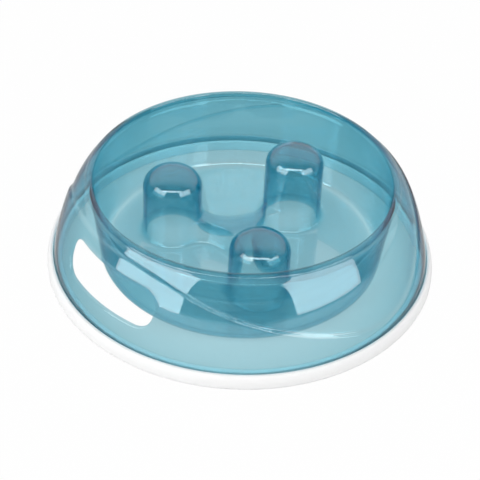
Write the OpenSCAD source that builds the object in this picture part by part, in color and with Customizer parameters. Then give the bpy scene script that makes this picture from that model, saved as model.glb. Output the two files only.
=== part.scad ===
/* [Wall and inside bowl] */

// Thickness of the moulded wall
wall = 2.3; // [2:0.1:2.5]

// Height of the rim above the table
rim_top_z = 60.5; // [60:0.1:62]

// Radius of the middle of the rim
rim_mid_r = 92.03; // [91.8:0.01:92.2]

// Radius of the rounding over the rim
rim_round_r = 2.05; // [1.9:0.01:2.1]

// How much the inside narrows from the rim down to the floor
inside_draft = 5.08; // [4.5:0.01:6]

// Height of the floor that the food lies on
floor_z = 6.8; // [6:0.1:8]

// Radius of the cove between floor and side
cove_r = 4; // [2:0.5:8]

/* [Outer skirt] */

// How far the foot of the skirt stands out from the rim
foot_spread = 21.62; // [20.9:0.01:22.1]

// Height at which the foot turns into the flared side
foot_z = 8.4; // [8:0.1:10]

// How far out from the rim the flared side bends towards
flare_spread = 12.02; // [10:0.01:12.9]

// Height of the point that the flared side bends towards
flare_z = 46; // [44:0.5:48]

// How far the rim side runs down before the flare starts
flare_drop = 2.6; // [2.2:0.1:3]

/* [Step line] */

// How far the lower band stands out from the upper side
step_out = 1.25; // [0.6:0.05:1.6]

// Length of the joint between band and upper side
step_lap = 2.2; // [1.5:0.1:4]

// Middle height of the step line
step_mid_z = 37.4; // [35:0.1:39]

// Rise and fall of the step line over each half turn
step_swing = 19.4; // [10:0.1:19.4]

// How much the crests of the step line are flattened
step_flat = 3.05; // [0:0.05:4]

// How much the step line leans to one side
step_lean = 1.6; // [0:0.1:2]

/* [Grip opening] */

// Length of the grip opening
grip_length = 73; // [50:1:76]

// Height of the grip opening
grip_height = 23; // [18:1:24]

// Height of the middle of the grip opening
grip_mid_z = 34; // [32:0.5:36]

// Corner radius of the grip opening
grip_corner_r = 10; // [4:0.5:11]

/* [Posts] */

// Distance of each post from the middle of the bowl
post_place_r = 44.8; // [43:0.1:46]

// Radius of a post near the floor
post_base_r = 18.75; // [17:0.05:19]

// Radius of a post under its domed top
post_shoulder_r = 18.3; // [16.5:0.05:18.5]

// Height of the domed part of a post
dome_height = 12.4; // [8:0.1:16]

// Squareness of the dome, where 2 is a half circle
dome_power = 2.25; // [2:0.05:3]

// Radius of the cove around the foot of a post
post_cove_r = 5; // [2:0.5:6]

// Height of the top of the tallest post
tall_post_z = 58.5; // [50:0.5:59]

// Height of the top of the middle post
middle_post_z = 52.7; // [46:0.5:59]

// Height of the top of the lowest post
low_post_z = 48.5; // [44:0.5:59]

/* [Rib] */

// Height of the top of the rib between the posts
rib_top_z = 22; // [18:0.5:26]

// Radius of the hollow sides of the rib
rib_side_r = 30; // [26:0.5:34]

// Width of each rib arm at its narrowest
rib_width = 10; // [8:0.5:13]

// Rounding along the top edges of the rib
rib_edge_r = 2.5; // [1:0.1:3]

// Cove where the rib meets the floor
rib_cove_r = 4; // [2:0.5:5]

// Lean of the rib sides over their height
rib_draft = 1.6; // [0:0.1:2.5]

/* [Base ring] */

// Width of the rounded side of the ring on the table
ring_side_width = 2.8; // [2:0.1:6]

// Height of the outer lip of the ring
ring_lip_z = 8.4; // [6:0.1:8.4]

// Width of the top of the outer lip
ring_lip_width = 1.2; // [1:0.1:3]

// Thickness of the ring under the foot
ring_base = 3; // [2:0.1:4]

// Thickness of the inner lip of the ring
ring_inner_lip = 2.6; // [1.5:0.1:4]

// Height of the inner lip of the ring
ring_inner_lip_z = 7; // [5:0.1:8]

// Gap between the foot and each lip of the ring
ring_gap = 0.3; // [0.25:0.05:0.4]

/* [Hidden] */

$fn = 128;
overrun = 1;
full_turn = 360;
half_turn = 180;
quarter_turn = 90;
third_turn = 120;
arc_steps = 6;
flare_steps = 9;
dome_steps = 9;
wave_steps = 26;

blue = [0.30, 0.62, 0.72, 0.6];
white = [0.93, 0.93, 0.93];

rim_mid_z = rim_top_z - rim_round_r;
under_z = floor_z - wall;
rim_inside_r = rim_mid_r - rim_round_r;
rim_outside_r = rim_mid_r + rim_round_r;
inside_r = rim_inside_r - inside_draft;
flare_r = rim_outside_r + flare_spread;
foot_r = rim_outside_r + foot_spread;
side_lean = inside_draft / (rim_mid_z - floor_z);
ring_lip_r = foot_r + ring_gap + ring_lip_width;
ring_r = ring_lip_r + ring_side_width;
ring_reach = ring_r + ring_lip_z;

// Points of an arc from one angle to another
function arc(mid, r, from, to) = [
    for (i = [0 : arc_steps])
        let (a = from + (to - from) * i / arc_steps)
            mid + r * [cos(a), sin(a)]
];

// Inside radius of the bowl side at a height
function side_r(z) = inside_r + side_lean * (z - floor_z);

// The flared side is a bend between three points
flare_top = [rim_outside_r, rim_top_z - flare_drop];
flare_bend = [flare_r, flare_z];
flare_foot = [foot_r - step_out, foot_z];

function flare_at(t) =
    pow(1 - t, 2) * flare_top + 2 * t * (1 - t) * flare_bend + pow(t, 2) * flare_foot;

function flare_run(t) =
    (1 - t) * (flare_bend - flare_top) + t * (flare_foot - flare_bend);

// A point of the flared side moved out square to the wall
function flare_out(t, out) =
    let (run = flare_run(t))
        flare_at(t) + out * [-run[1], run[0]] / norm(run);

function flare_line(out) = [for (i = [0 : flare_steps]) flare_out(i / flare_steps, out)];

function backwards(line) = [for (i = [len(line) - 1 : -1 : 0]) line[i]];

// Share of the way down the flared side at a height
function flare_share(z) =
    let (a = flare_top[1] - 2 * flare_bend[1] + flare_foot[1])
    let (b = flare_bend[1] - flare_top[1])
    let (c = flare_top[1] - z)
        (-b - sqrt(b * b - a * c)) / a;

// Height of the step line at an angle around the bowl
function step_z(turn) =
    step_mid_z
    + step_swing * cos(2 * turn)
    - step_flat * cos(4 * turn)
    - step_lean * sin(4 * turn)
    + step_lean * sin(6 * turn);

// Radius and height of the domed top of a post
function dome(r, z, height) = [
    for (i = [0 : dome_steps])
        let (a = quarter_turn * i / dome_steps)
            [r * pow(cos(a), 2 / dome_power), z + height * pow(sin(a), 2 / dome_power)]
];

// Closed section of the inside bowl, rim and upper side
module turned_section() {
    polygon(concat(
        [[0, under_z]],
        arc([inside_r - cove_r, floor_z + cove_r], cove_r + wall, -quarter_turn, 0),
        flare_line(-wall),
        backwards(flare_line(0)),
        arc([rim_mid_r, rim_mid_z], rim_round_r, 0, half_turn),
        backwards(arc([inside_r - cove_r, floor_z + cove_r], cove_r, -quarter_turn, 0)),
        [[0, floor_z]]
    ));
}

// Closed section of the lower band and its foot
module band_section() {
    polygon(concat(
        flare_line(step_out),
        [[foot_r, ring_base], [foot_r - wall, ring_base]],
        backwards(flare_line(step_out - wall))
    ));
}

// Everything below the step line, moved up or down by a rise
module below_step(rise) {
    for (turn = [0, half_turn])
        rotate([0, 0, turn])
            translate([0, overrun, 0])
                rotate([quarter_turn, 0, 0])
                    linear_extrude(height = ring_reach)
                        polygon(concat(
                            [[-ring_reach, -overrun], [-ring_reach, step_z(half_turn) + rise]],
                            [
                                for (i = [0 : wave_steps])
                                    let (a = half_turn + half_turn * i / wave_steps)
                                    let (z = step_z(a))
                                        [flare_at(flare_share(z))[0] * cos(a), z + rise]
                            ],
                            [[ring_reach, step_z(full_turn) + rise], [ring_reach, -overrun]]
                        ));
}

// Room inside which the outer side is never cut
module inner_guard() {
    translate([0, 0, -overrun])
        cylinder(r = rim_outside_r, h = rim_top_z + overrun);
}

// Outline of the grip opening
module grip_outline() {
    flat_length = grip_length / 2 - grip_corner_r;
    flat_height = grip_height / 2 - grip_corner_r;
    square([grip_length, 2 * flat_height], center = true);
    square([2 * flat_length, grip_height], center = true);
    for (x = [-flat_length, flat_length])
        for (y = [-flat_height, flat_height])
            translate([x, y])
                circle(r = grip_corner_r);
}

// The grip opening, through one side of the skirt
module grip_cut() {
    difference() {
        translate([-ring_reach, 0, grip_mid_z])
            rotate([quarter_turn, 0, quarter_turn])
                linear_extrude(height = ring_reach)
                    grip_outline();
        inner_guard();
    }
}

// Lower band of the skirt with its foot
module lower_band() {
    intersection() {
        difference() {
            rotate_extrude()
                band_section();
            grip_cut();
        }
        below_step(0);
    }
}

// Solid form of a post, standing in the floor
module post_form(top_z) {
    cove_z = floor_z + post_cove_r;
    rotate_extrude()
        polygon(concat(
            [[0, floor_z - wall / 2], [post_base_r + post_cove_r, floor_z - wall / 2]],
            arc([post_base_r + post_cove_r, cove_z], post_cove_r, full_turn - quarter_turn, half_turn),
            dome(post_shoulder_r, top_z - dome_height, dome_height)
        ));
}

// Hollow inside a post, open below
module post_hollow(top_z) {
    rotate_extrude()
        polygon(concat(
            [[0, under_z - overrun], [post_base_r - wall, under_z - overrun]],
            dome(post_shoulder_r - wall, top_z - dome_height, dome_height - wall)
        ));
}

// Form that hollows out one side of the rib
module rib_side() {
    rotate_extrude()
        polygon(concat(
            [[0, floor_z]],
            arc([rib_side_r - rib_draft - rib_cove_r, floor_z + rib_cove_r], rib_cove_r, -quarter_turn, 0),
            backwards(arc([rib_side_r + rib_edge_r, rib_top_z - rib_edge_r], rib_edge_r, quarter_turn, half_turn)),
            [[rib_side_r + rib_edge_r, rib_top_z + overrun], [0, rib_top_z + overrun]]
        ));
}

// The same form one wall thickness further out, for the hollow
module rib_side_hollow() {
    rotate_extrude()
        polygon([
            [0, under_z - 2 * overrun],
            [rib_side_r - rib_draft + wall, under_z - 2 * overrun],
            [rib_side_r - rib_draft + wall, floor_z],
            [rib_side_r + wall, rib_top_z],
            [0, rib_top_z]
        ]);
}

// Places of the three forms around the rib
module rib_sides() {
    for (turn = [third_turn / 2 : third_turn : full_turn])
        rotate([0, 0, turn])
            translate([(rib_side_r + rib_width / 2) / sin(third_turn / 2), 0, 0])
                children();
}

// Y rib, with its three arms running into the posts
module rib_form() {
    difference() {
        translate([0, 0, floor_z - wall / 2])
            cylinder(r = post_place_r - post_base_r + 2 * wall, h = rib_top_z - floor_z + wall / 2);
        rib_sides()
            rib_side();
    }
}

// Hollow inside the rib, open below and into the posts
module rib_hollow() {
    difference() {
        translate([0, 0, under_z - overrun])
            cylinder(r = post_place_r - post_base_r + 2 * wall, h = rib_top_z - floor_z + overrun);
        rib_sides()
            rib_side_hollow();
    }
}

// Places of the three posts, each with its own height
module each_post() {
    for (post = [[0, tall_post_z], [third_turn, middle_post_z], [2 * third_turn, low_post_z]])
        rotate([0, 0, post[0]])
            translate([post_place_r, 0, 0]) {
                $post_top_z = post[1];
                children();
            }
}

// Inside bowl with its posts and rib, the rim and the upper side
module upper_moulding() {
    difference() {
        union() {
            rotate_extrude()
                turned_section();
            each_post()
                post_form($post_top_z);
            rib_form();
        }
        rib_hollow();
        each_post()
            post_hollow($post_top_z);
        difference() {
            below_step(-step_lap);
            inner_guard();
        }
    }
}

module bowl() {
    color(blue)
        union() {
            upper_moulding();
            lower_band();
        }
}

// Soft ring with a groove that the foot of the skirt stands in
module base_ring() {
    groove_out_r = foot_r + ring_gap;
    groove_in_r = foot_r - wall - ring_gap;
    color(white)
        rotate_extrude()
            polygon(concat(
                [[groove_in_r - ring_inner_lip, 0]],
                [
                    for (i = [0 : arc_steps])
                        let (a = quarter_turn * i / arc_steps)
                            [ring_lip_r + ring_side_width * cos(a), ring_lip_z * sin(a)]
                ],
                [[groove_out_r, ring_lip_z], [groove_out_r, ring_base]],
                [[groove_in_r, ring_base], [groove_in_r, ring_inner_lip_z]],
                [[groove_in_r - ring_inner_lip, ring_inner_lip_z]]
            ));
}

base_ring();
bowl();
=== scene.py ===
"""Slow feeder bowl: a clear blue moulding with three hollow posts, standing in a soft white ring."""

import logging
import math
from dataclasses import dataclass, field, replace
from enum import Enum, IntEnum

import bmesh
import bpy
from bmesh.types import BMEdge, BMesh, BMFace, BMLayerItem, BMVert
from bpy.types import Material, Node, NodeSocket, NodeTree, Object, World
from mathutils import Matrix, Vector

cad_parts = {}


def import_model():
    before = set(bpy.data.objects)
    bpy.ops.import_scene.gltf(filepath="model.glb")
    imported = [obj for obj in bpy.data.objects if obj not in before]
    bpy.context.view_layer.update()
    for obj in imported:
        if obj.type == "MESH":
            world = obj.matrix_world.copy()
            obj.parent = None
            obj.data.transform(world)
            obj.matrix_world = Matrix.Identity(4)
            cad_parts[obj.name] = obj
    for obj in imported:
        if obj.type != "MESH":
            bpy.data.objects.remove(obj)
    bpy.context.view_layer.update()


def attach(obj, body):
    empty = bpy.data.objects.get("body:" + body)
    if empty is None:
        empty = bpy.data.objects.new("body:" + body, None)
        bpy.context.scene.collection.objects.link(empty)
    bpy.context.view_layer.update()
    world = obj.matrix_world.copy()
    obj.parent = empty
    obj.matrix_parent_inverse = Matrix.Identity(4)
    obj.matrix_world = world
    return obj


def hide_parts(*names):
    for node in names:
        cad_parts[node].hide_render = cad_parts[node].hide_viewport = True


LOG = logging.getLogger("slow_feeder")
MM = 0.001
AROUND = 216
COARSE_AROUND = 54
HALVINGS = 24
AIM_HEIGHT = 0.03
ARM_SPOTS = 100

Point = tuple[float, float]
Triple = tuple[float, float, float]


def arc(mid: Point, radius: float, start: float, end: float, steps: int) -> list[Point]:
    """Points along an arc in a section.

    Args:
        mid: middle of the arc, in mm.
        radius: radius of the arc, in mm.
        start: first angle, in degrees.
        end: last angle, in degrees.
        steps: number of straight runs between the points.

    Returns:
        The points from start to end.
    """
    points = []
    for i in range(steps + 1):
        turn = math.radians(start + (end - start) * i / steps)
        points.append((mid[0] + radius * math.cos(turn), mid[1] + radius * math.sin(turn)))
    return points


def between(start: Point, end: Point, share: float) -> Point:
    """Point of a section at a share of the way from one point to another."""
    return start[0] + (end[0] - start[0]) * share, start[1] + (end[1] - start[1]) * share


def around(turn: float, radius: float) -> Vector:
    """Point in plan at an angle, in radians, and a radius."""
    return Vector((radius * math.cos(turn), radius * math.sin(turn)))


def lifted(flat: Vector, height: float) -> Vector:
    """Place in metres of a point in plan and its height, both in mm."""
    return Vector((flat.x, flat.y, height)) * MM


def spun(section: list[Point], closed: bool) -> BMesh:
    """Turns a section once round the upright axis.

    Args:
        section: radius and height of each point, in mm.
        closed: whether the section's last point joins its first.

    Returns:
        The turned mesh, with each vertex's place in the section in its "row" layer.
    """
    bm = bmesh.new()
    row = bm.verts.layers.int.new("row")
    verts = []
    for i, (radius, height) in enumerate(section):
        vert = bm.verts.new((radius * MM, 0.0, height * MM))
        vert[row] = i
        verts.append(vert)
    for first, second in zip(verts, verts[1:]):
        bm.edges.new((first, second))
    if closed:
        bm.edges.new((verts[-1], verts[0]))
    geom = bm.verts[:] + bm.edges[:]
    bmesh.ops.spin(bm, geom=geom, axis=(0.0, 0.0, 1.0), angle=math.tau, steps=AROUND, use_merge=True)
    bmesh.ops.remove_doubles(bm, verts=bm.verts[:], dist=0.005 * MM)
    return bm


def of_kind(made: list[BMVert | BMEdge | BMFace], kind: type) -> list:
    """Elements of one kind among those that an operation made."""
    return [element for element in made if isinstance(element, kind)]


def finished(bm: BMesh, name: str) -> Object:
    """Makes a shown object of a finished mesh.

    Args:
        bm: the mesh, which is freed.
        name: name of the object.

    Returns:
        The object, at the origin.
    """
    bmesh.ops.recalc_face_normals(bm, faces=bm.faces[:])
    for face in bm.faces:
        face.smooth = True
    mesh = bpy.data.meshes.new(name)
    bm.to_mesh(mesh)
    bm.free()
    obj = bpy.data.objects.new(name, mesh)
    bpy.context.scene.collection.objects.link(obj)
    return obj


def subdivided(bm: BMesh, levels: int) -> BMesh:
    """Rounds a coarse mesh with a subdivision surface.

    Args:
        bm: the coarse mesh, which is freed.
        levels: how many times it is divided.

    Returns:
        The rounded mesh.
    """
    mesh = bpy.data.meshes.new("coarse")
    bm.to_mesh(mesh)
    bm.free()
    coarse = bpy.data.objects.new("coarse", mesh)
    bpy.context.scene.collection.objects.link(coarse)
    rounding = coarse.modifiers.new("rounding", "SUBSURF")
    rounding.levels = rounding.render_levels = levels
    smooth = bpy.data.meshes.new_from_object(coarse.evaluated_get(bpy.context.evaluated_depsgraph_get()))
    bpy.data.objects.remove(coarse)
    bpy.data.meshes.remove(mesh)
    out = bmesh.new()
    out.from_mesh(smooth)
    bpy.data.meshes.remove(smooth)
    return out


@dataclass(frozen=True)
class FlareLine:
    """Outer side of the skirt in section: a bend between three points, in mm."""

    top: Point = (94.08, 58.2)
    bend: Point = (106.1, 46.0)
    foot: Point = (114.45, 8.4)

    def at(self, share: float) -> Vector:
        """Point of the side at a share of the way down."""
        rest = 1.0 - share
        return (
            rest * rest * Vector(self.top)
            + 2.0 * share * rest * Vector(self.bend)
            + share * share * Vector(self.foot)
        )

    def run(self, share: float) -> Vector:
        """Direction of the side at a share of the way down, with its speed in mm."""
        rest = 1.0 - share
        return 2.0 * (
            rest * (Vector(self.bend) - Vector(self.top)) + share * (Vector(self.foot) - Vector(self.bend))
        )

    def out(self, share: float, distance: float) -> Vector:
        """Point moved square off the side.

        Args:
            share: share of the way down.
            distance: how far outward, in mm.

        Returns:
            Radius and height, in mm.
        """
        run = self.run(share).normalized()
        return self.at(share) + distance * Vector((-run.y, run.x))

    def share_at(self, height: float, distance: float) -> float:
        """Share of the way down at which the moved side has a height.

        Args:
            height: height above the table, in mm.
            distance: how far outward the side is moved, in mm.

        Returns:
            The share.
        """
        low, high = 0.0, 1.0
        for _ in range(HALVINGS):
            mid = 0.5 * (low + high)
            if self.out(mid, distance).y > height:
                low = mid
            else:
                high = mid
        return 0.5 * (low + high)


@dataclass(frozen=True)
class StepLine:
    """Wavy line at which the lower band stands out from the upper side, in mm."""

    middle: float = 37.4
    swing: float = 19.4
    flat: float = 3.05
    lean: float = 1.6
    out: float = 1.25

    def height(self, turn: float) -> float:
        """Height of the line.

        Args:
            turn: angle around the bowl, in radians.

        Returns:
            Height above the table, in mm.
        """
        return (
            self.middle
            + self.swing * math.cos(2.0 * turn)
            - self.flat * math.cos(4.0 * turn)
            - self.lean * math.sin(4.0 * turn)
            + self.lean * math.sin(6.0 * turn)
        )


@dataclass(frozen=True)
class GripOutline:
    """Rounded outline of the grip opening, seen square from the side, in mm."""

    half_length: float = 36.5
    half_height: float = 11.5
    mid_height: float = 34.0
    corner: float = 10.0
    columns: int = 12
    rows: int = 9
    reach: int = 5
    corner_fade: float = 0.8

    def rounded(self, across: float, up: float) -> Point:
        """Moves a point of the straight-sided outline onto the rounded one.

        Args:
            across: distance from the middle, from -1 to 1.
            up: height from the middle, from -1 to 1.

        Returns:
            Distance across and height above the table, in mm.
        """
        point = Vector((across * self.half_length, up * self.half_height))
        inner = Vector((self.half_length - self.corner, self.half_height - self.corner))
        over = Vector((abs(point.x) - inner.x, abs(point.y) - inner.y))
        if over.x > 0.0 and over.y > 0.0:
            over = over.normalized() * self.corner
            corner = inner + over
            point = Vector((math.copysign(corner.x, point.x), math.copysign(corner.y, point.y)))
        return point.x, self.mid_height + point.y


class Part(Enum):
    """Where a row of the moulding's section lies."""

    FIXED = "fixed"
    UPPER = "upper side"
    STEP = "step"
    LOWER = "lower band"


@dataclass(frozen=True)
class Row:
    """One ring of the turned moulding.

    A fixed row keeps its radius and height. Any other row follows the step line, at a share
    or a distance along its part, and lies as deep under the outer face as depth says, in mm.
    """

    part: Part
    place: Point = (0.0, 0.0)
    depth: float = 0.0


class Spot(IntEnum):
    """Numbers of the places of one arm of the coarse mesh. FIRST to LAST run round its post."""

    CORNER = 0
    LOW_SIDE = 1
    FIRST = 2
    OUTWARD = 9
    LAST = 16
    HIGH_SIDE = 17
    NEAR = 50
    HALFWAY = 51
    MIDDLE = 3 * ARM_SPOTS


@dataclass(frozen=True)
class Sheet:
    """How the coarse mesh of one face of the floor goes up into the posts and the rib, in mm.

    The rings are flat and stand that far off the posts. The face leaves the flat over the
    cove and goes by the low level up to the rib, whose top has the inset as its border.
    """

    depth: float
    rings: tuple[float, ...]
    cove: float
    low_level: float
    inset: float


@dataclass
class PostsFloor:
    """Floor of the bowl with its three hollow posts and the Y rib, in mm."""

    floor: float = 6.8
    edge_radius: float = 80.0
    place_radius: float = 44.8
    base_radius: float = 18.75
    shoulder_radius: float = 18.3
    dome: float = 12.4
    dome_power: float = 2.25
    upper: Sheet = Sheet(depth=0.0, rings=(7.0,), cove=2.75, low_level=7.0, inset=2.0)
    under: Sheet = Sheet(depth=2.3, rings=(3.2, 7.0), cove=0.8, low_level=3.0, inset=1.0)
    heights: Triple = (58.5, 52.7, 48.5)
    rib_top: float = 22.0
    rib_lean: float = 1.6
    corner: float = 9.4
    arm_place: float = 18.5
    arm_half: float = 3.6
    throat: Point = (27.5, 7.2)
    throat_pull: float = 0.67
    ring_pull: float = 0.97463
    true_band: Point = (1.0, 5.0)
    straight_from: float = 5.0
    spot: BMLayerItem | None = field(default=None, repr=False)

    def placed(self, spot: int, swell: float, radius: float) -> Vector:
        """Place of a coarse vertex round the posts and the rib.

        Args:
            spot: number of the place.
            swell: how far the rib's sides stand out, in mm.
            radius: radius of the posts, in mm.

        Returns:
            Place in plan, in mm.
        """
        arm, index = divmod(spot, ARM_SPOTS)
        ring = radius / self.ring_pull
        if spot == Spot.MIDDLE:
            return Vector((0.0, 0.0))
        if index == Spot.CORNER:
            flat = Matrix.Rotation(-math.pi / 3.0, 2) @ Vector((self.corner + swell, 0.0))
        elif index in (Spot.LOW_SIDE, Spot.HIGH_SIDE):
            side = -1.0 if index == Spot.LOW_SIDE else 1.0
            flat = Vector((self.arm_place, side * (self.arm_half + swell)))
        elif index == Spot.HALFWAY:
            flat = Vector((self.arm_place, 0.0))
        elif index == Spot.NEAR:
            flat = Vector((self.place_radius - ring, 0.0))
        else:
            turn = math.radians(202.5 + 22.5 * (index - Spot.FIRST))
            flat = Vector((self.place_radius + ring * math.cos(turn), ring * math.sin(turn)))
            grown = radius - self.base_radius
            if index in (Spot.FIRST, Spot.LAST) and grown > 0.0:
                side = -1.0 if index == Spot.FIRST else 1.0
                flat = Vector((self.throat[0] - self.throat_pull * grown, side * (self.throat[1] + grown)))
        return Matrix.Rotation(math.tau / 3.0 * arm, 2) @ flat

    def lay(self, verts: list[BMVert], height: float, swell: float, radius: float) -> None:
        """Puts a ring or field of coarse vertices in its place.

        Args:
            verts: the vertices.
            height: their height, in mm.
            swell: how far the rib's sides stand out, in mm.
            radius: radius of the posts, in mm.
        """
        for vert in verts:
            flat = self.placed(vert[self.spot], swell, radius)
            vert.co = lifted(flat, height)

    def outline(self, bm: BMesh) -> None:
        """Starts the coarse mesh as three rings with two strips from each to the middle."""
        for arm in range(3):
            made = bmesh.ops.create_circle(bm, cap_ends=True, radius=self.base_radius * MM, segments=16)
            verts = made["verts"]
            for vert in verts:
                step = round(math.degrees(math.atan2(vert.co.y, vert.co.x)) / 22.5) % 16
                index = Spot.NEAR if step == 8 else Spot.FIRST + (step - Spot.OUTWARD) % 16
                vert[self.spot] = ARM_SPOTS * arm + index
            near = {ARM_SPOTS * arm + i for i in (Spot.FIRST, Spot.NEAR, Spot.LAST)}
            linked = {e for v in verts for e in v.link_edges}
            edges = [e for e in linked if all(v[self.spot] in near for v in e.verts)]
            for names in (
                {Spot.FIRST: Spot.LOW_SIDE, Spot.NEAR: Spot.HALFWAY, Spot.LAST: Spot.HIGH_SIDE},
                {Spot.LOW_SIDE: Spot.CORNER, Spot.HALFWAY: Spot.MIDDLE, Spot.HIGH_SIDE: Spot.CORNER},
            ):
                made = bmesh.ops.extrude_edge_only(bm, edges=edges)["geom"]
                edges = of_kind(made, BMEdge)
                for vert in of_kind(made, BMVert):
                    index = vert[self.spot] % ARM_SPOTS
                    owner = (arm + 1) % 3 if index == Spot.HIGH_SIDE else arm
                    new = names[index]
                    vert[self.spot] = new if new == Spot.MIDDLE else ARM_SPOTS * owner + new
        cove = self.upper.cove
        self.lay(bm.verts[:], self.floor, self.rib_lean + cove, self.base_radius + cove)
        bmesh.ops.remove_doubles(bm, verts=bm.verts[:], dist=0.01 * MM)

    def edge_turn(self, spot: int) -> float:
        """Angle at which a place of the coarse mesh meets the round edge of the floor, in radians."""
        arm, index = divmod(spot, ARM_SPOTS)
        return math.tau * (arm / 3.0 + (index - Spot.OUTWARD) / COARSE_AROUND)

    def spread(self, bm: BMesh, height: float, reach: tuple[float, ...]) -> None:
        """Runs the flat floor out from the posts to its round edge.

        Args:
            bm: the coarse mesh.
            height: height of the floor, in mm.
            reach: how far the first rings stand off the posts, in mm.
        """
        edges = [e for e in bm.edges if e.is_boundary]
        rings = [("off", r) for r in reach] + [("out", s) for s in (0.35, 0.7, 1.0)]
        for kind, value in rings:
            made = bmesh.ops.extrude_edge_only(bm, edges=edges)["geom"]
            edges = of_kind(made, BMEdge)
            verts = of_kind(made, BMVert)
            last = reach[-1]
            if kind == "off":
                self.lay(verts, height, self.rib_lean + value, self.base_radius + value)
                continue
            for vert in verts:
                near = self.placed(vert[self.spot], self.rib_lean + last, self.base_radius + last)
                turn = self.edge_turn(vert[self.spot])
                vert.co = lifted(near.lerp(around(turn, self.edge_radius), value), height)

    def raised(
        self, bm: BMesh, faces: list[BMFace], height: float, swell: float, radius: float
    ) -> list[BMFace]:
        """Pulls faces of the coarse mesh up to the next level.

        Args:
            bm: the coarse mesh.
            faces: the faces that go up together.
            height: the new level, in mm.
            swell: how far the rib's sides stand out there, in mm.
            radius: radius of the posts there, in mm.

        Returns:
            The faces at the new level.
        """
        made = bmesh.ops.extrude_face_region(bm, geom=faces)["geom"]
        bmesh.ops.delete(bm, geom=faces, context="FACES")
        self.lay(of_kind(made, BMVert), height, swell, radius)
        return of_kind(made, BMFace)

    def dome_point(self, top: float, radius: float, rise: float, turn: float) -> Point:
        """Radius and height of the domed top at an angle of its section."""
        angle = math.radians(turn)
        power = 2.0 / self.dome_power
        return radius * math.cos(angle) ** power, top - rise + rise * math.sin(angle) ** power

    def face_sheet(self, face: Sheet) -> BMesh:
        """Builds the upper face of the floor, or its underside.

        Args:
            face: which of the two.

        Returns:
            The rounded sheet.
        """
        depth = face.depth
        bm = bmesh.new()
        self.spot = bm.verts.layers.int.new("spot")
        base = self.base_radius - depth
        floor = self.floor - depth
        rib_top = self.rib_top - depth
        start = face.cove - depth
        self.outline(bm)
        self.lay(bm.verts[:], floor, self.rib_lean + start, self.base_radius + start)
        field_faces = bm.faces[:]
        self.spread(bm, floor, tuple(ring - depth for ring in face.rings))
        levels = [
            (floor + face.cove, self.rib_lean - depth, base),
            (floor + face.low_level, 0.7 * self.rib_lean - depth, base),
            (rib_top - 3.0, 0.2 * self.rib_lean - depth, base - 0.1),
            (rib_top, -depth, base - 0.15),
        ]
        for height, swell, radius in levels:
            field_faces = self.raised(bm, field_faces, height, swell, radius)
        arms = [f for f in field_faces if len(f.verts) == 4]
        inset = face.inset * MM
        bmesh.ops.inset_region(bm, faces=arms, thickness=inset, use_even_offset=True, use_boundary=True)
        for post in [f for f in field_faces if len(f.verts) == 16]:
            self.raise_post(bm, post, depth, rib_top)
        bmesh.ops.recalc_face_normals(bm, faces=bm.faces[:])
        sheet = subdivided(bm, 2)
        self.trued(sheet, depth)
        return sheet

    def raise_post(self, bm: BMesh, face: BMFace, depth: float, rib_top: float) -> None:
        """Pulls one post up from the level of the rib to its domed top.

        Args:
            bm: the coarse mesh.
            face: the ring-shaped face at the level of the rib.
            depth: how deep the sheet lies under the outer face, in mm.
            rib_top: level of the rib, in mm.
        """
        arm = face.verts[0][self.spot] // ARM_SPOTS
        top = self.heights[arm] - depth
        radius = self.shoulder_radius - depth
        rise = self.dome - depth
        shoulder = top - rise
        levels = [
            (rib_top + 2.5, self.base_radius - depth - 0.15),
            (0.5 * (rib_top + shoulder), self.base_radius - depth - 0.2),
            (shoulder - 3.0, radius),
            (shoulder, radius),
        ]
        for turn in (16.0, 32.0, 48.0, 63.0, 77.0):
            out, height = self.dome_point(top, radius, rise, turn)
            levels.append((height, out))
        faces = [face]
        for height, out in levels:
            faces = self.raised(bm, faces, height, 0.0, out)

    def trued(self, bm: BMesh, depth: float) -> None:
        """Sets the rounded posts and the round edge to their exact sizes.

        Args:
            bm: the rounded sheet.
            depth: how deep the sheet lies under the outer face, in mm.
        """
        edge = {v for e in bm.edges if e.is_boundary for v in e.verts}
        for vert in edge:
            turn = round(math.atan2(vert.co.y, vert.co.x) * AROUND / math.tau) * math.tau / AROUND
            vert.co = lifted(around(turn, self.edge_radius), self.floor - depth)
        clear, over = self.true_band
        straight = self.floor + self.straight_from
        for arm, height in enumerate(self.heights):
            mid = around(math.tau / 3.0 * arm, self.place_radius)
            rise = self.dome - depth
            shoulder = height - depth - rise
            for vert in bm.verts:
                flat = Vector((vert.co.x, vert.co.y)) / MM - mid
                level = vert.co.z / MM
                blend_in = min(1.0, max(0.0, (level - self.rib_top - clear) / over))
                if flat.length > self.base_radius + 2.0 or blend_in <= 0.0:
                    continue
                if level > shoulder:
                    power = self.dome_power
                    out = flat.length / (self.shoulder_radius - depth)
                    up = (level - shoulder) / rise
                    grow = (out**power + up**power) ** (-1.0 / power)
                    vert.co = lifted(flat * grow + mid, shoulder + up * grow * rise)
                else:
                    lean = (level - straight) / (shoulder - straight)
                    wanted = self.base_radius + (self.shoulder_radius - self.base_radius) * lean - depth
                    vert.co = lifted(flat * (1.0 + blend_in * (wanted / flat.length - 1.0)) + mid, level)


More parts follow.
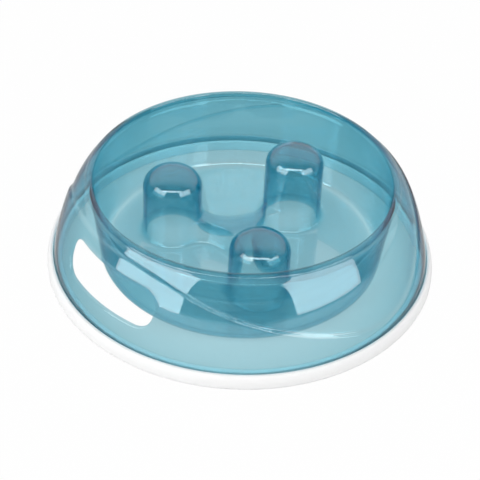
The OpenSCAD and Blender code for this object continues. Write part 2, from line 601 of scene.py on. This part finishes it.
@dataclass
class Moulding:
    """The clear blue moulding: inside bowl, rim, skirt with step and grip opening, posts and rib, in mm."""

    wall: float = 2.3
    floor: float = 6.8
    inside_radius: float = 84.9
    cove: float = 4.0
    rim_inside: Point = (91.28, 59.2)
    rim_top: Point = (93.17, 59.033)
    rim_side: Point = (93.453, 58.609)
    rim_radii: Triple = (1.3, 0.5, 0.6)
    foot_radius: float = 115.7
    foot_round: Point = (0.4, 0.12)
    foot_tops: Point = (7.2, 7.0)
    foot_mid: float = 5.0
    under_rim: Point = (0.25, 0.1)
    cove_end: float = -6.0
    seat: float = 3.0
    flare: FlareLine = field(default_factory=FlareLine)
    step: StepLine = field(default_factory=StepLine)
    grip: GripOutline = field(default_factory=GripOutline)
    posts: PostsFloor = field(default_factory=PostsFloor)
    step_rows: tuple[Point, ...] = (
        (-1.8, 0.0),
        (-1.35, 0.005),
        (-0.95, 0.06),
        (-0.55, 0.22),
        (0.0, 0.5),
        (0.55, 0.78),
        (0.95, 0.94),
        (1.35, 0.995),
        (1.8, 1.0),
    )
    grip_edge: float = 0.7
    grip_beyond: float = 95.0

    def skirt_rows(self, depth: float) -> list[Row]:
        """Rows of the skirt from the rim down to the foot.

        Args:
            depth: how deep the rows lie under the outer face, in mm.

        Returns:
            The rows, from the top.
        """
        first = 1 if depth > 0.0 else 0
        rows = [Row(Part.UPPER, (i / 7.0, 0.0), depth) for i in range(first, 7)]
        rows += [Row(Part.STEP, place, depth) for place in self.step_rows]
        rows += [Row(Part.LOWER, (share, 0.0), depth) for share in self.lower_shares()]
        return rows

    def lower_shares(self) -> list[float]:
        """Shares of the way down the lower band at which its rows lie, two of them at the grip's edges."""
        line = self.step_share(math.pi)
        start = line + self.step_rows[-1][0] / self.flare.run(line).length
        tops = [
            self.flare.share_at(self.grip.mid_height + side * self.grip.half_height, self.step.out)
            for side in (1.0, -1.0)
        ]
        top, bottom = [(t - start) / (1.0 - start) for t in tops]
        shares = [top * i / 3.0 for i in (1, 2)]
        shares += [top + (bottom - top) * i / self.grip.rows for i in range(self.grip.rows + 1)]
        shares += [bottom + (1.0 - bottom) * i / 6.0 for i in range(1, 7)]
        return shares

    def step_share(self, turn: float) -> float:
        """Share of the way down the flare at which the step line lies, at an angle in radians."""
        return self.flare.share_at(self.step.height(turn), 0.0)

    def row_point(self, row: Row, turn: float, share: float) -> Point:
        """Radius and height of a row at one angle.

        Args:
            row: the row.
            turn: the angle, in radians; not used.
            share: where the step line lies on the flare at that angle.

        Returns:
            Radius and height, in mm.
        """
        if row.part is Part.FIXED:
            return row.place
        speed = self.flare.run(share).length
        along, out = row.place
        if row.part is Part.UPPER:
            end = share + self.step_rows[0][0] / speed
            point = self.flare.out(end * along, -row.depth)
        elif row.part is Part.STEP:
            point = self.flare.out(share + along / speed, self.step.out * out - row.depth)
        else:
            start = share + self.step_rows[-1][0] / speed
            point = self.flare.out(start + (1.0 - start) * along, self.step.out - row.depth)
        return point.x, point.y

    def rows(self) -> list[Row]:
        """All rows of the moulding, from the floor's upper edge round to its underside."""
        cove_mid = (self.inside_radius - self.cove, self.floor + self.cove)
        rim = self.rim_section()
        inner = arc(cove_mid, self.cove, -90.0, self.cove_end, 6)
        outer = arc(cove_mid, self.cove + self.wall, -90.0, self.cove_end, 7)
        inner_top = self.flare.out(0.0, -self.wall)
        edge = self.posts.edge_radius
        fixed = [(edge, self.floor)] + inner
        fixed += [between(inner[-1], rim[0], i / 7.0) for i in range(1, 7)] + rim
        rows = [Row(Part.FIXED, p) for p in fixed]
        rows += self.skirt_rows(0.0)
        out, seat = self.foot_radius, self.seat
        back = out - self.wall
        mid = self.foot_mid
        whole, part = self.foot_round
        foot = [(out, self.foot_tops[0]), (out, mid), (out, seat + whole), (out - part, seat + part)]
        foot += [(out - whole, seat), (back + whole, seat), (back + part, seat + part)]
        foot += [(back, seat + whole), (back, mid), (back, self.foot_tops[1])]
        rows += [Row(Part.FIXED, p) for p in foot]
        rows += reversed(self.skirt_rows(self.wall))
        low = outer[-1]
        top = (inner_top.x - self.under_rim[0], inner_top.y - self.under_rim[1])
        rows += [Row(Part.FIXED, top)]
        rows += [Row(Part.FIXED, between(top, low, i / 8.0)) for i in range(1, 8)]
        rows += [Row(Part.FIXED, p) for p in reversed(outer)]
        rows += [Row(Part.FIXED, (edge, self.floor - self.wall))]
        return rows

    def rim_section(self) -> list[Point]:
        """Section of the rim: a rounded inner edge, a sloping top and a narrow bevel round the outside."""
        inside, top, side = self.rim_radii
        points = arc(self.rim_inside, inside, 180.0, 60.0, 8)
        points += arc(self.rim_top, top, 60.0, 45.0, 2)
        return points + arc(self.rim_side, side, 45.0, 0.0, 4)

    def shell(self) -> BMesh:
        """Turns the section, lets the skirt follow the step line and opens the grip."""
        rows = self.rows()
        start_share = self.step_share(0.0)
        bm = spun([self.row_point(r, 0.0, start_share) for r in rows], closed=False)
        layer = bm.verts.layers.int["row"]
        column = bm.verts.layers.int.new("column")
        shares = [self.step_share(math.tau * i / AROUND) for i in range(AROUND)]
        for vert in bm.verts:
            index = round(math.atan2(vert.co.y, vert.co.x) * AROUND / math.tau) % AROUND
            vert[column] = index
            turn = math.tau * index / AROUND
            radius, height = self.row_point(rows[vert[layer]], turn, shares[index])
            vert.co = lifted(around(turn, radius), height)
        for depth in (0.0, self.wall):
            self.open_grip(bm, rows, depth)
        self.join_grip(bm)
        return bm

    def grip_span(self, rows: list[Row], depth: float) -> tuple[int, int]:
        """First and last row of the grip opening on one face of the skirt.

        Args:
            rows: all rows of the moulding.
            depth: how deep the face lies under the outer face, in mm.

        Returns:
            The two row numbers.
        """
        lower = [i for i, r in enumerate(rows) if r.part is Part.LOWER and r.depth == depth]
        if depth > 0.0:
            lower.reverse()
        first, last = lower[2], lower[2 + self.grip.rows]
        return min(first, last), max(first, last)

    def open_grip(self, bm: BMesh, rows: list[Row], depth: float) -> None:
        """Cuts the grip opening in one face of the skirt and rounds its outline.

        Args:
            bm: the turned moulding.
            rows: all rows of the moulding.
            depth: how deep the face lies under the outer face, in mm.
        """
        layer = bm.verts.layers.int["row"]
        column = bm.verts.layers.int["column"]
        first, last = self.grip_span(rows, depth)
        top = last if depth > 0.0 else first
        grip = self.grip
        by_place = {}
        for vert in bm.verts:
            across = vert[column] - AROUND // 2
            row = vert[layer]
            if abs(across) <= grip.columns + grip.reach and first - grip.reach <= row <= last + grip.reach:
                by_place[(across, row)] = vert
        moves = {}
        for (across, row), vert in by_place.items():
            if abs(across) > grip.columns or not first <= row <= last:
                continue
            if abs(across) < grip.columns and first < row < last:
                continue
            down = abs(row - top) / (last - first)
            wanted = grip.rounded(across / grip.columns, 1.0 - 2.0 * down)
            moves[(across, row)] = (wanted[0] + vert.co.y / MM, wanted[1] - vert.co.z / MM)
        for (across, row), vert in by_place.items():
            near = (max(-grip.columns, min(grip.columns, across)), max(first, min(last, row)))
            if near not in moves or rows[row].part is not Part.LOWER:
                continue
            away = max(abs(across - near[0]), abs(row - near[1]))
            fade = max(0.0, 1.0 - away / (grip.reach + 1.0)) ** 2
            shift = moves[near]
            if away and (row - near[1]) and fade:
                fade *= grip.corner_fade
            y = fade * shift[0] - vert.co.y / MM
            z = vert.co.z / MM + fade * shift[1]
            out = self.step.out - depth
            radius = self.flare.out(self.flare.share_at(z, out), out).x
            vert.co = Vector((-math.sqrt(radius * radius - y * y), -y, z)) * MM
        held = {v for (a, row), v in by_place.items() if abs(a) <= grip.columns and first <= row <= last}
        inside = [face for face in bm.faces if all(vert in held for vert in face.verts)]
        bmesh.ops.delete(bm, geom=inside, context="FACES")

    def join_grip(self, bm: BMesh) -> None:
        """Joins the outer and inner outline of the grip opening and rounds its edges.

        Args:
            bm: the moulding with its opening cut.
        """
        beyond = self.grip_beyond * MM
        edges = [e for e in bm.edges if e.is_boundary and all(v.co.xy.length > beyond for v in e.verts)]
        bmesh.ops.bridge_loops(bm, edges=edges)
        rounding = {"offset": self.grip_edge * MM, "segments": 3, "profile": 0.5, "clamp_overlap": True}
        bmesh.ops.bevel(bm, geom=edges, affect="EDGES", material=-1, **rounding)
        LOG.info("grip opening: %d edges joined", len(edges))

    def build(self) -> Object:
        """Joins the shell with the floor and its posts into one closed moulding."""
        bm = self.shell()
        for face in (self.posts.upper, self.posts.under):
            sheet = self.posts.face_sheet(face)
            mesh = bpy.data.meshes.new("sheet")
            sheet.to_mesh(mesh)
            sheet.free()
            bm.from_mesh(mesh)
            bpy.data.meshes.remove(mesh)
        bmesh.ops.remove_doubles(bm, verts=bm.verts[:], dist=0.02 * MM)
        loose = [e for e in bm.edges if not e.is_manifold]
        LOG.info("moulding: %d faces, %d open edges", len(bm.faces), len(loose))
        return finished(bm, "clear_moulding")


@dataclass
class SoftRing:
    """The soft white ring with the groove that the skirt's foot stands in, in mm."""

    radius: float = 120.0
    lip_radius: float = 117.2
    lip_height: float = 8.4
    base: float = 3.0
    groove_out: float = 116.0
    groove_in: float = 113.1
    inner_radius: float = 110.5
    inner_height: float = 7.0
    lip_round: float = 0.4
    top_round: float = 0.6
    base_round: float = 0.8
    base_edge: tuple[Point, ...] = ((1.0, 0.0), (0.35, 0.1))

    def section(self) -> list[Point]:
        """Closed section of the ring, with softly rounded edges."""
        wide = self.radius - self.lip_radius
        lip, top, low = self.lip_round, self.top_round, self.base_round
        bend = arc((0.0, 0.0), 1.0, 4.0, 90.0, 12)
        side = [(self.lip_radius + wide * across, self.lip_height * up) for across, up in bend]
        points = [(self.inner_radius + low, 0.0)]
        points += [(self.radius - back, up) for back, up in self.base_edge] + side
        points += arc((self.groove_out + lip, self.lip_height - lip), lip, 90.0, 180.0, 3)
        points += [(self.groove_out, 5.0), (self.groove_out, self.base)]
        points += [(self.groove_in, self.base), (self.groove_in, 5.0)]
        points += arc((self.groove_in - top, self.inner_height - top), top, 0.0, 90.0, 3)
        points += arc((self.inner_radius + top, self.inner_height - top), top, 90.0, 180.0, 3)
        points += arc((self.inner_radius + low, low), low, 180.0, 250.0, 3)
        return points

    def build(self) -> Object:
        """Turns the section into the ring."""
        return finished(spun(self.section(), closed=True), "soft_ring")


class NodeKit:
    """Adds and joins the nodes of one material or node group."""

    def __init__(self, tree: NodeTree) -> None:
        """Keeps the tree that the nodes go into."""
        self.tree = tree

    def add(self, kind: str, **values: object) -> Node:
        """Adds a node.

        Args:
            kind: the node's type.
            values: settings, or input values by name with _ for a space.

        Returns:
            The node.
        """
        node = self.tree.nodes.new(kind)
        for key, value in values.items():
            if hasattr(node, key):
                setattr(node, key, value)
            else:
                node.inputs[key.replace("_", " ")].default_value = value
        return node

    def join(self, source: NodeSocket, target: NodeSocket) -> None:
        """Joins an output to an input."""
        self.tree.links.new(source, target)

    def feed(self, value: NodeSocket | Triple | float, target: NodeSocket) -> None:
        """Joins an output to an input, or sets the input to a colour or a number."""
        if isinstance(value, NodeSocket):
            self.join(value, target)
        else:
            target.default_value = (*value, 1.0) if isinstance(value, tuple) else value

    def calc(self, operation: str, *values: NodeSocket | float) -> NodeSocket:
        """Adds a node that works out one value.

        Args:
            operation: the kind of sum.
            values: outputs of other nodes, or plain numbers.

        Returns:
            The result's output.
        """
        node = self.add("ShaderNodeMath", operation=operation)
        for value, target in zip(values, node.inputs):
            self.feed(value, target)
        return node.outputs[0]

    def blend(self, share: NodeSocket, first: NodeSocket | Triple, second: Triple) -> NodeSocket:
        """Adds a mix of two colours.

        Args:
            share: output that says how much of the second colour shows.
            first: a colour, or an output of another node.
            second: the other colour.

        Returns:
            The mixed colour's output.
        """
        node = self.add("ShaderNodeMix", data_type="RGBA")
        for value, name in ((share, "Factor"), (first, "A"), (second, "B")):
            self.feed(value, node.inputs[name])
        return node.outputs["Result"]

    def show(self, out: Node, share: NodeSocket, first: Node, second: Node) -> None:
        """Shows a mix of two shaders as the surface.

        Args:
            out: the output node of the material or the world.
            share: output that says how much of the second shader shows.
            first: one shader.
            second: the other shader.
        """
        mix = self.add("ShaderNodeMixShader")
        for source, target in zip((share, first.outputs[0], second.outputs[0]), mix.inputs):
            self.join(source, target)
        self.join(mix.outputs[0], out.inputs["Surface"])


def cleared(made: Material | World) -> NodeKit:
    """Empties the nodes of a material or a world and makes a kit for them."""
    made.use_nodes = True
    made.node_tree.nodes.clear()
    return NodeKit(made.node_tree)


class HandledGloss:
    """Shared effect: faint wipe marks and moulding ripple that change a gloss over the surface."""

    NAME = "handled gloss"

    @classmethod
    def group(cls) -> NodeTree:
        """Node group with the varied roughness, a height for bumps and a faint cloud mask."""
        if cls.NAME in bpy.data.node_groups:
            return bpy.data.node_groups[cls.NAME]
        tree = bpy.data.node_groups.new(cls.NAME, "ShaderNodeTree")
        given = ("Roughness", "Spread", "Scale", "Grain Scale")
        for side, names in (("INPUT", given), ("OUTPUT", ("Roughness", "Height", "Cloud"))):
            for name in names:
                tree.interface.new_socket(name, in_out=side, socket_type="NodeSocketFloat")
        kit = NodeKit(tree)
        set_by = kit.add("NodeGroupInput")
        out = kit.add("NodeGroupOutput")
        place = kit.add("ShaderNodeTexCoord")
        cloud = kit.add("ShaderNodeTexNoise", Detail=3.0, Roughness=0.55)
        grain = kit.add("ShaderNodeTexNoise", Detail=2.0, Roughness=0.6)
        kit.join(place.outputs["Object"], cloud.inputs["Vector"])
        kit.join(place.outputs["Object"], grain.inputs["Vector"])
        kit.join(set_by.outputs["Scale"], cloud.inputs["Scale"])
        kit.join(set_by.outputs["Grain Scale"], grain.inputs["Scale"])
        centred = kit.calc("SUBTRACT", cloud.outputs["Fac"], 0.5)
        varied = kit.calc("MULTIPLY_ADD", centred, set_by.outputs["Spread"], set_by.outputs["Roughness"])
        kit.join(varied, out.inputs["Roughness"])
        kit.join(grain.outputs["Fac"], out.inputs["Height"])
        kit.join(cloud.outputs["Fac"], out.inputs["Cloud"])
        return tree


@dataclass(frozen=True)
class Marks:
    """How strongly the wipe marks and the grain show on one finish."""

    roughness: float
    spread: float
    scale: float
    grain_scale: float
    bump: float
    bump_depth: float

    def dress(self, kit: NodeKit, skin: Node) -> NodeSocket:
        """Varies a shader's roughness and its surface.

        Args:
            skin: the material's main shader.

        Returns:
            The faint cloud mask.
        """
        marks = kit.add(
            "ShaderNodeGroup",
            node_tree=HandledGloss.group(),
            Roughness=self.roughness,
            Spread=self.spread,
            Scale=self.scale,
            Grain_Scale=self.grain_scale,
        )
        bump = kit.add("ShaderNodeBump", Strength=self.bump, Distance=self.bump_depth)
        kit.join(marks.outputs["Roughness"], skin.inputs["Roughness"])
        kit.join(marks.outputs["Height"], bump.inputs["Height"])
        kit.join(bump.outputs["Normal"], skin.inputs["Normal"])
        return marks.outputs["Cloud"]


class PaintedShadeMasks:
    """Shared effect: masks of painted shade, on the rim and the upper posts, and at the inner lip of the
    rim.
    """

    NAME = "thick walls"
    # Heights and reaches of the painted shade on the rim, the inner lip and the upper posts, in mm
    RIM = (57.9, 58.7)
    EDGE = (57.6, 58.6)
    EDGE_REACH = (91.5, 90.8)
    POSTS = (20.0, 34.0)
    POSTS_REACH = 72.0
    POSTS_SHADE = 0.75

    @classmethod
    def group(cls) -> NodeTree:
        """Node group of two masks of painted shade: the first is 1 on the rim and the upper posts, Edge is 1
        at the rim's inner lip.
        """
        if cls.NAME in bpy.data.node_groups:
            return bpy.data.node_groups[cls.NAME]
        tree = bpy.data.node_groups.new(cls.NAME, "ShaderNodeTree")
        for name in ("Depth", "Edge"):
            tree.interface.new_socket(name, in_out="OUTPUT", socket_type="NodeSocketFloat")
        kit = NodeKit(tree)
        out = kit.add("NodeGroupOutput")
        place = kit.add("ShaderNodeTexCoord")
        axes = kit.add("ShaderNodeSeparateXYZ")
        kit.join(place.outputs["Object"], axes.inputs[0])
        shade_ramps = []
        for (low, high), most in ((cls.RIM, 1.0), (cls.POSTS, cls.POSTS_SHADE), (cls.EDGE, 1.0)):
            rise = kit.add("ShaderNodeMapRange", From_Min=low * MM, From_Max=high * MM, To_Max=most)
            kit.join(axes.outputs["Z"], rise.inputs["Value"])
            shade_ramps.append(rise.outputs["Result"])
        rim, posts, edge = shade_ramps
        flat = kit.add("ShaderNodeVectorMath", operation="MULTIPLY")
        flat.inputs[1].default_value = (1.0, 1.0, 0.0)
        reach = kit.add("ShaderNodeVectorMath", operation="LENGTH")
        kit.join(place.outputs["Object"], flat.inputs[0])
        kit.join(flat.outputs["Vector"], reach.inputs[0])
        near = kit.calc("LESS_THAN", reach.outputs["Value"], cls.POSTS_REACH * MM)
        inner = kit.calc("MULTIPLY", near, posts)
        kit.join(kit.calc("MAXIMUM", rim, inner), out.inputs["Depth"])
        lip = kit.add("ShaderNodeMapRange", From_Min=cls.EDGE_REACH[0] * MM, From_Max=cls.EDGE_REACH[1] * MM)
        kit.join(reach.outputs["Value"], lip.inputs["Value"])
        kit.join(kit.calc("MULTIPLY", lip.outputs["Result"], edge), out.inputs["Edge"])
        return tree


@dataclass(frozen=True)
class ClearPlastic:
    """See-through blue plastic with a smooth moulded gloss, and painted shade on the rim, the upper posts
    and the rim's inner lip.
    """

    name: str = "clear blue plastic"
    tint: Triple = (0.88, 0.955, 0.975)
    # Painted shade: a darker colour on the rim and the upper posts. On the rim it partly stands for the
    # deeper colour of thicker plastic.
    deep_shade_tint: Triple = (0.5, 0.72, 0.77)
    # Painted shade: a dark line at the rim's inner lip, standing for the dark seen through the lip at a
    # glance
    lip_shade_tint: Triple = (0.14, 0.33, 0.36)
    lip_shade_facing: Point = (0.45, 0.85)
    clearness: float = 1.0
    absorption: Triple = (0.11, 0.72, 0.82)
    density: float = 195.0
    marks: Marks = Marks(0.02, spread=0.02, scale=22.0, grain_scale=60.0, bump=0.02, bump_depth=0.0004)
    coat: float = 1.0
    gloss: float = 0.015
    bend: float = 1.008
    ior: float = 1.78
    passed: Triple = (0.93, 0.82, 0.81)

    def material(self) -> Material:
        """Makes the material."""
        made = bpy.data.materials.new(self.name)
        kit = cleared(made)
        out = kit.add("ShaderNodeOutputMaterial")
        skin = kit.add(
            "ShaderNodeBsdfPrincipled",
            Transmission_Weight=self.clearness,
            IOR=self.bend,
            Coat_Weight=self.coat,
            Coat_Roughness=self.gloss,
            Coat_IOR=self.ior,
        )
        shade_masks = kit.add("ShaderNodeGroup", node_tree=PaintedShadeMasks.group())
        # Painted shade: the rim and the upper posts take the darker colour
        shade = kit.blend(shade_masks.outputs["Depth"], self.tint, self.deep_shade_tint)
        # Painted dark line at the rim's inner lip, shown where the lip is seen at a glance or from behind
        facing = kit.add("ShaderNodeLayerWeight")
        side = kit.add("ShaderNodeNewGeometry")
        grazing = kit.add("ShaderNodeMapRange", From_Min=self.lip_shade_facing[0], From_Max=self.lip_shade_facing[1])
        kit.join(facing.outputs["Facing"], grazing.inputs["Value"])
        seen = kit.calc("MAXIMUM", grazing.outputs["Result"], side.outputs["Backfacing"])
        lip = kit.calc("MULTIPLY", seen, shade_masks.outputs["Edge"])
        kit.join(kit.blend(lip, shade, self.lip_shade_tint), skin.inputs["Base Color"])
        self.marks.dress(kit, skin)
        inside = kit.add("ShaderNodeVolumeAbsorption", Density=self.density)
        kit.feed(self.absorption, inside.inputs["Color"])
        path = kit.add("ShaderNodeLightPath")
        clear = kit.add("ShaderNodeBsdfTransparent")
        kit.feed(self.passed, clear.inputs["Color"])
        kit.show(out, path.outputs["Is Shadow Ray"], skin, clear)
        kit.join(inside.outputs[0], out.inputs["Volume"])
        return made


@dataclass(frozen=True)
class SoftWhite:
    """Soft white rubber with a fine grain."""

    name: str = "soft white rubber"
    colour: Triple = (0.87, 0.87, 0.87)
    shade: float = 0.96
    ior: float = 1.45
    marks: Marks = Marks(0.55, spread=0.2, scale=30.0, grain_scale=1400.0, bump=0.12, bump_depth=0.0002)

    def material(self) -> Material:
        """Makes the material."""
        made = bpy.data.materials.new(self.name)
        made.use_nodes = True
        kit = NodeKit(made.node_tree)
        skin = made.node_tree.nodes["Principled BSDF"]
        skin.inputs["IOR"].default_value = self.ior
        darker = tuple(self.shade * c for c in self.colour)
        kit.join(kit.blend(self.marks.dress(kit, skin), self.colour, darker), skin.inputs["Base Color"])
        return made


@dataclass(frozen=True)
class PaleGround:
    """Pale floor that looks white to the camera and keeps the shadow."""

    name: str = "pale ground"
    colour: Triple = (0.6, 0.6, 0.6)
    clear: float = 0.985
    through: float = 0.34

    def material(self) -> Material:
        """Makes the material."""
        made = bpy.data.materials.new(self.name)
        kit = cleared(made)
        out = kit.add("ShaderNodeOutputMaterial")
        matt = kit.add("ShaderNodeBsdfDiffuse")
        kit.feed(self.colour, matt.inputs["Color"])
        glow = kit.add("ShaderNodeEmission")
        path = kit.add("ShaderNodeLightPath")
        inner = kit.calc("MULTIPLY", path.outputs["Is Transmission Ray"], self.through)
        direct = kit.calc("MULTIPLY", path.outputs["Is Camera Ray"], self.clear)
        kit.show(out, kit.calc("MAXIMUM", inner, direct), matt, glow)
        return made


@dataclass(frozen=True)
class Softbox:
    """One soft lamp that faces the bowl."""

    name: str
    azimuth: float
    elevation: float
    distance: float
    width: float
    height: float
    radiance: float

    def place(self) -> Object:
        """Adds the lamp, turned towards the bowl."""
        data = bpy.data.lights.new(self.name, "AREA")
        data.shape = "RECTANGLE"
        data.size = self.width
        data.size_y = self.height
        data.energy = self.radiance * math.pi * self.width * self.height
        lamp = bpy.data.objects.new(self.name, data)
        bpy.context.scene.collection.objects.link(lamp)
        turn, rise = math.radians(self.azimuth), math.radians(self.elevation)
        out = Vector((math.cos(rise) * math.cos(turn), math.cos(rise) * math.sin(turn), math.sin(rise)))
        lamp.location = out * self.distance + Vector((0.0, 0.0, AIM_HEIGHT))
        lamp.rotation_euler = (-out).to_track_quat("-Z", "Y").to_euler()
        return lamp


@dataclass
class Studio:
    """Pale floor, soft light and the camera at the photograph's angle."""

    photo_turn: float = -45.0
    distance: float = 0.780
    elevation: float = 39.75
    yaw: float = 0.03
    pitch: float = 0.54
    roll: float = -2.44
    lens: float = 93.0
    sensor: float = 36.0
    floor_half: float = 4.0
    front_light: float = 0.064
    back_light: float = 0.96
    light_span: Point = (-0.3, 0.5)
    softboxes: tuple[Softbox, ...] = (
        Softbox("left box", 217.0, 19.0, 1.2, 1.0, 1.1, 3.2),
        Softbox("right box", 323.5, 20.0, 1.2, 0.95, 0.85, 2.9),
        Softbox("front top box", 270.0, 52.0, 1.4, 1.7, 0.25, 4.5),
    )

    def build(self) -> None:
        """Adds the floor, the lamps, the world and the camera."""
        self.add_floor()
        self.add_world()
        for box in self.softboxes:
            replace(box, azimuth=box.azimuth + self.photo_turn).place()
        self.add_camera()

    def add_floor(self) -> None:
        """Adds the pale floor."""
        bm = bmesh.new()
        bmesh.ops.create_grid(bm, x_segments=4, y_segments=4, size=self.floor_half)
        floor = finished(bm, "pale_floor")
        floor.data.materials.append(PaleGround().material())

    def add_world(self) -> None:
        """Lights the scene softly, brighter from behind, and shows the camera plain white."""
        world = bpy.data.worlds.new("studio")
        bpy.context.scene.world = world
        kit = cleared(world)
        out = kit.add("ShaderNodeOutputWorld")
        place = kit.add("ShaderNodeTexCoord")
        behind = math.radians(90.0 + self.photo_turn)
        along = kit.add("ShaderNodeVectorMath", operation="DOT_PRODUCT")
        along.inputs[1].default_value = (math.cos(behind), math.sin(behind), 0.0)
        kit.join(place.outputs["Generated"], along.inputs[0])
        level = kit.add("ShaderNodeMapRange", interpolation_type="SMOOTHSTEP")
        span = (*self.light_span, self.front_light, self.back_light)
        for name, value in zip(("From Min", "From Max", "To Min", "To Max"), span):
            level.inputs[name].default_value = value
        kit.join(along.outputs["Value"], level.inputs["Value"])
        soft = kit.add("ShaderNodeBackground", Color=(1.0, 1.0, 1.0, 1.0))
        kit.join(level.outputs["Result"], soft.inputs["Strength"])
        white = kit.add("ShaderNodeBackground", Color=(1.0, 1.0, 1.0, 1.0))
        path = kit.add("ShaderNodeLightPath")
        kit.show(out, path.outputs["Is Camera Ray"], soft, white)

    def add_camera(self) -> None:
        """Adds the camera where the photograph was taken from."""
        rise = math.radians(self.elevation)
        spot = Vector((0.0, -math.cos(rise), math.sin(rise))) * self.distance
        ahead = -spot.normalized()
        right = Vector((1.0, 0.0, 0.0))
        up = right.cross(ahead)
        for which, angle in enumerate((self.yaw, self.pitch, self.roll)):
            axis = (up, right, ahead)[which].copy()
            turn = Matrix.Rotation(math.radians(angle), 3, axis)
            ahead, right, up = turn @ ahead, turn @ right, turn @ up
        basis = Matrix((right, up, -ahead)).transposed().to_4x4()
        place = Matrix.Rotation(math.radians(self.photo_turn), 4, "Z") @ Matrix.Translation(spot) @ basis
        data = bpy.data.cameras.new("camera")
        data.lens = self.lens
        data.sensor_width = self.sensor
        data.clip_start = 0.01
        camera = bpy.data.objects.new("camera", data)
        bpy.context.scene.collection.objects.link(camera)
        camera.matrix_world = place
        bpy.context.scene.camera = camera


def dressed(piece: Object, material: Material, body: str, node: str) -> None:
    """Gives a piece its finish and puts it in the place of its node.

    Args:
        piece: the piece.
        material: its finish.
        body: the body that it rides on.
        node: the node that it stands for.
    """
    piece.data.materials.clear()
    piece.data.materials.append(material)
    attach(piece, body)
    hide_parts(node)
    LOG.info("%s: %d faces", piece.name, len(piece.data.polygons))


def main() -> None:
    """Builds the bowl and its studio."""
    logging.basicConfig(level=logging.INFO)
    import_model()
    dressed(SoftRing().build(), SoftWhite().material(), "base_ring", "base_ring")
    dressed(Moulding().build(), ClearPlastic().material(), "bowl", "bowl")
    Studio().build()
    bpy.context.scene.view_settings.view_transform = "Standard"


if __name__ == "__main__":
    main()
